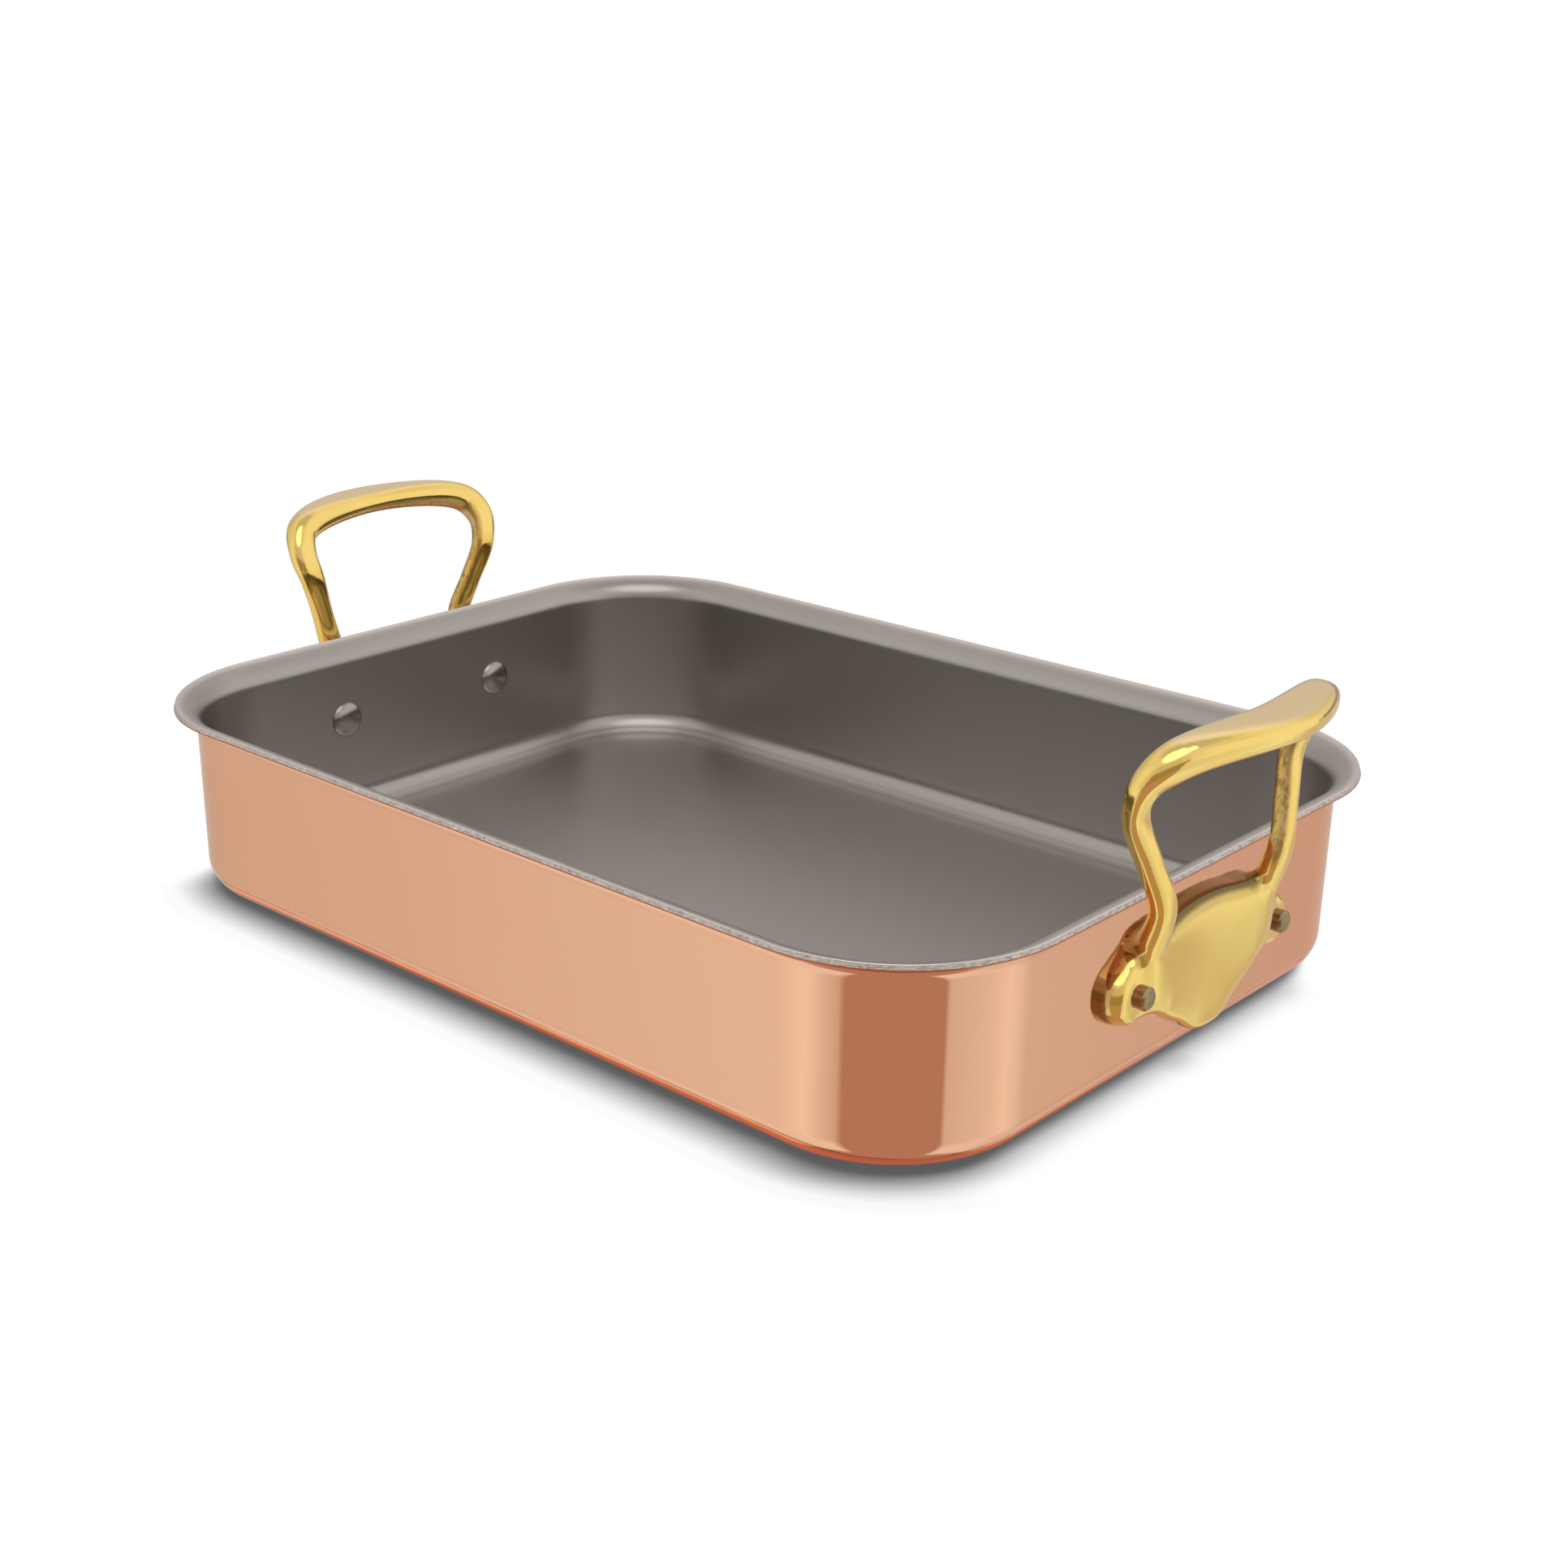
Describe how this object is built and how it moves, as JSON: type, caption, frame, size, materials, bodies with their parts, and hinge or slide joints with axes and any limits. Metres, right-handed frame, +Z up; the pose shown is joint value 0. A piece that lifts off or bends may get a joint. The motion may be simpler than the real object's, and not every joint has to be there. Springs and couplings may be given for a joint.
{
  "type": "roasting pan",
  "caption": "Rectangular roasting pan of bonded copper, aluminium and steel sheet, with rounded corners, a flared lip and a riveted cast brass loop handle on each short end.",
  "frame": {"origin": "middle of the underside of the base, on the surface that the pan stands on", "axes": "+Z up, +X along the length from the left handle to the right one, +Y across the width to the back"},
  "size_m": [0.4198, 0.2656, 0.1175],
  "materials": {
    "copper": "polished copper",
    "aluminium": "sheared edge",
    "steel": "satin stainless steel",
    "brass": "polished cast brass",
    "rivet": "turned stainless steel"
  },
  "bodies": {
    "root": {"copper_shell": "copper", "aluminium_core": "aluminium", "steel_lining": "steel", "handle_left": "brass", "handle_right": "brass", "rivet_left_front": "rivet", "rivet_left_back": "rivet", "rivet_right_front": "rivet", "rivet_right_back": "rivet"}
  },
  "joints": []
}
